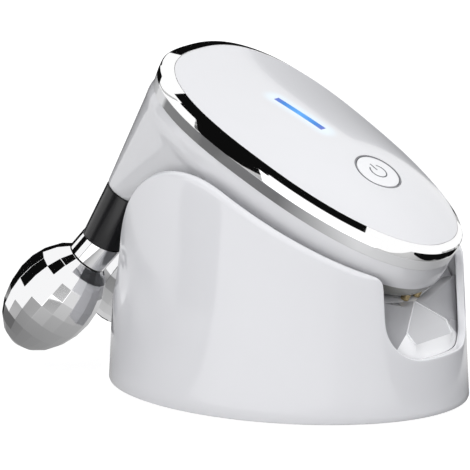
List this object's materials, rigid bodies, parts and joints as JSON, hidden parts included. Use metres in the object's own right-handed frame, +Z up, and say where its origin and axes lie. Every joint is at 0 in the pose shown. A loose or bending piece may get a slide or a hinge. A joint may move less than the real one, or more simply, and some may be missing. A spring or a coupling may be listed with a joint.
{
  "type": "facial toning device",
  "caption": "Cordless facial toner with two faceted chrome rollers on necks, an oval domed face with a button and light bar, seated in a slanted oval charging base.",
  "frame": {"origin": "centre of the anti-slip pad under the base, on the surface the base stands on", "axes": "+Z up; +X from the rollers to the handset's tail; the part is symmetric about Y = 0 apart from the power inlet"},
  "size_m": [0.1763, 0.1096, 0.1217],
  "materials": {
    "cover_white": "high gloss",
    "housing_white": "gloss",
    "base_white": "gloss",
    "chrome": "mirror",
    "seal_rubber": "matte",
    "button_white": "gloss",
    "button_trim": "satin",
    "black_plastic": "matte",
    "light_blue": "translucent, lit from behind",
    "led_ceramic": "matte",
    "board_green": "solder resist",
    "inner_plastic": "matte",
    "battery_wrap": "foil pouch",
    "foam": "foam",
    "steel": "plated",
    "gold": "gold plated",
    "collar_black": "satin",
    "bronze": "sintered bronze",
    "pad_rubber": "matte"
  },
  "bodies": {
    "button": {"button_cap": "button_white"},
    "roller_left": {"roller_ball_left": "chrome", "roller_hub_left": "black_plastic", "roller_bushes_left": "bronze"},
    "pin_left": {"charge_pin_left": "gold"},
    "roller_right": {"roller_ball_right": "chrome", "roller_hub_right": "black_plastic", "roller_bushes_right": "bronze"},
    "pin_right": {"charge_pin_right": "gold"},
    "base": {"base_shell": "base_white", "cradle_tray": "base_white", "bottom_cover": "base_white", "anti_slip_pad": "pad_rubber", "base_pcb": "board_green", "power_inlet": "black_plastic", "base_screws": "steel"},
    "handset": {"top_cover": "cover_white", "chrome_ring": "chrome", "lower_housing": "housing_white", "seal_gasket": "seal_rubber", "button_ring": "button_trim", "tact_switch": "black_plastic", "light_bar": "light_blue", "led_chips": "led_ceramic", "main_pcb": "board_green", "inner_frame": "inner_plastic", "battery": "battery_wrap", "battery_pad": "foam", "housing_screws": "steel", "charge_contacts": "gold", "collar_left": "collar_black", "collar_right": "collar_black", "neck_sleeve_left": "chrome", "neck_sleeve_right": "chrome", "roller_axle_left": "steel", "roller_axle_right": "steel", "axle_terminal_left": "gold", "axle_terminal_right": "gold", "axle_clip_left": "steel", "axle_clip_right": "steel"}
  },
  "joints": [
    {"name": "handset_lift", "type": "slide", "parent": "base", "child": "handset", "axis": [0.4756, 0, 0.8796], "range_m": [0, 0.12]},
    {"name": "button_press", "type": "slide", "parent": "handset", "child": "button", "axis": [-0.4756, 0, -0.8796], "range_m": [0, 0.0006], "stiffness_N_per_m": 400},
    {"name": "roller_left_spin", "type": "hinge", "parent": "handset", "child": "roller_left", "pos_m": [-0.06948, 0.01861, 0.04887], "axis": [-0.6138, 0.1895, -0.7664], "continuous": true},
    {"name": "roller_right_spin", "type": "hinge", "parent": "handset", "child": "roller_right", "pos_m": [-0.06948, -0.01861, 0.04887], "axis": [-0.6138, -0.1895, -0.7664], "continuous": true},
    {"name": "pin_left_slide", "type": "slide", "parent": "base", "child": "pin_left", "axis": [0.4756, 0, 0.8796], "range_m": [-0.001, 0], "stiffness_N_per_m": 300},
    {"name": "pin_right_slide", "type": "slide", "parent": "base", "child": "pin_right", "axis": [0.4756, 0, 0.8796], "range_m": [-0.001, 0], "stiffness_N_per_m": 300}
  ]
}
